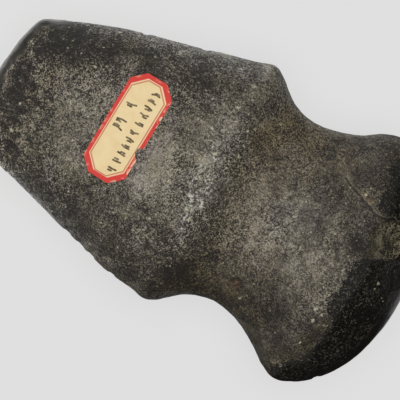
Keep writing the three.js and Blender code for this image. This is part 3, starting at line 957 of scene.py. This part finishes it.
class StageLook(bpy.types.PropertyGroup):
    floor: colour_property("Floor", "The pale floor", (224, 224, 224))
    floor_glow: share_property("Floor glow", "Light that the floor gives off, as a lit table does", 0.86, 2)
    floor_shade: share_property("Floor shade", "How much the lights and shadows show on the floor", 0.15)
    view_width: length_property("View width", "Width of the view at the height of the rim", 0.134)
    camera_height: length_property("Camera height", "Height of the camera over the rim", 1.0)
    turn: bpy.props.FloatProperty(
        name="Turn", description="How far the head is turned in the view", default=math.radians(28.5),
        subtype="ANGLE", unit="ROTATION",
    )
    key_power: bpy.props.FloatProperty(
        name="Top light", description="Power of the large soft light over the head", default=27, min=0,
        unit="POWER",
    )
    card_glow: share_property("Card glow", "Brightness of the card that lights the bit's rim", 2.6, 5)
    near_card_glow: share_property(
        "Near card glow", "Brightness of the card that lights the steep walls of the poll", 0.6, 5
    )
    sky: share_property("Sky", "Even light from all round", 0.02, 2)


class AXE_OT_make_head(bpy.types.Operator):
    """Make the stone axe head"""

    bl_idname = "grooved_axe.make_head"
    bl_label = "Make Axe Head"

    def execute(self, context):
        look = context.scene.axe_stone
        head = make_stone_mesh(look.relief)
        head.data.materials.append(stone_material(look))
        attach(head, "root")
        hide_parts("stone_axe_head")
        return {"FINISHED"}


class AXE_OT_make_label(bpy.types.Operator):
    """Make the old paper label on the blade"""

    bl_idname = "grooved_axe.make_label"
    bl_label = "Make Label"

    def execute(self, context):
        label = make_label_mesh()
        label.data.materials.append(paper_material(context.scene.axe_label))
        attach(label, "root")
        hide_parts("collection_label")
        return {"FINISHED"}


def flat_sheet(name, middle, half_width, half_depth):
    """A four-cornered sheet about its middle, from the directions of its half width and half depth."""
    mesh = bpy.data.meshes.new(name)
    corners = [middle + x * half_width + y * half_depth for x, y in ((-1, -1), (1, -1), (1, 1), (-1, 1))]
    mesh.from_pydata(corners, [], [(0, 1, 2, 3)])
    return place(name, mesh)


class AXE_OT_make_stage(bpy.types.Operator):
    """Make the floor, the lights and the camera"""

    bl_idname = "grooved_axe.make_stage"
    bl_label = "Make Stage"

    def execute(self, context):
        look = context.scene.axe_stage
        right = Vector((math.cos(look.turn), math.sin(look.turn), 0))
        up = Vector((-math.sin(look.turn), math.cos(look.turn), 0))
        middle = Vector(to_part(VIEW_MIDDLE))
        over = Vector((0, 0, 1))

        floor = flat_sheet("pale_floor", Vector((0, 0, -FLOOR_DROP)), FLOOR_REACH * right, FLOOR_REACH * up)
        floor.data.materials.append(floor_material(look))
        for rays in ("visible_diffuse", "visible_glossy", "visible_shadow"):
            setattr(floor, rays, False)
        towards = (FAR_CARD_UP * up - FAR_CARD_LEFT * right).normalized()
        card_middle = FAR_CARD_AWAY * towards - CARD_DROP * over
        card_side = FAR_CARD_HALF_WIDTH * towards.cross(over)
        card = flat_sheet("reflector_card", card_middle, card_side, FAR_CARD_HALF_DEPTH * towards)
        card.data.materials.append(card_material(look.card_glow))
        card.visible_camera = False
        near = middle + NEAR_CARD_RIGHT * right + NEAR_CARD_UP * up
        near.z = -CARD_DROP
        near_card = flat_sheet("near_card", near, NEAR_CARD_HALF * right, NEAR_CARD_HALF * up)
        near_card.data.materials.append(card_material(look.near_card_glow))
        near_card.visible_camera = False

        # A lamp that isn't turned shines straight down.
        lamp = bpy.data.lights.new("top_light", "AREA")
        lamp.energy = look.key_power
        lamp.size = LIGHT_SIZE
        place("top_light", lamp).location = middle + LIGHT_HEIGHT * over

        lens = bpy.data.cameras.new("photo_view")
        lens.sensor_width = SENSOR_WIDTH
        lens.lens = lens.sensor_width * look.camera_height / look.view_width
        camera = place("photo_view", lens)
        camera.location = middle + look.camera_height * over
        camera.rotation_euler = (0, 0, look.turn)
        context.scene.camera = camera

        world = bpy.data.worlds.new("studio")
        world.use_nodes = True
        sky = world.node_tree.nodes["Background"].inputs
        sky["Strength"].default_value = look.sky
        sky["Color"].default_value = (1, 1, 1, 1)
        context.scene.world = world
        context.scene.view_settings.view_transform = "Standard"
        return {"FINISHED"}


# Each group of pieces, with its settings and the operator that makes it.
GROUPS = {
    "axe_stone": (StoneLook, AXE_OT_make_head),
    "axe_label": (LabelLook, AXE_OT_make_label),
    "axe_stage": (StageLook, AXE_OT_make_stage),
}


class AXE_PT_sidebar(bpy.types.Panel):
    """The axe's looks and the buttons that make its pieces"""

    bl_label = "Grooved Axe"
    bl_idname = "AXE_PT_sidebar"
    bl_space_type = "VIEW_3D"
    bl_region_type = "UI"
    bl_category = "Grooved Axe"

    def draw(self, context):
        for name, (_, operator) in GROUPS.items():
            look = getattr(context.scene, name)
            column = self.layout.column()
            for key in look.bl_rna.properties.keys():
                if key not in ("rna_type", "name"):
                    column.prop(look, key)
            column.operator(operator.bl_idname)


CLASSES = [item for group in GROUPS.values() for item in group] + [AXE_PT_sidebar]


def register():
    for item in CLASSES:
        bpy.utils.register_class(item)
    for name, (look, _) in GROUPS.items():
        setattr(bpy.types.Scene, name, bpy.props.PointerProperty(type=look))


def unregister():
    for name in GROUPS:
        delattr(bpy.types.Scene, name)
    for item in reversed(CLASSES):
        bpy.utils.unregister_class(item)


def main():
    register()
    bpy.ops.grooved_axe.make_stage()
    bpy.ops.grooved_axe.make_head()
    bpy.ops.grooved_axe.make_label()


if __name__ == "__main__":
    main()
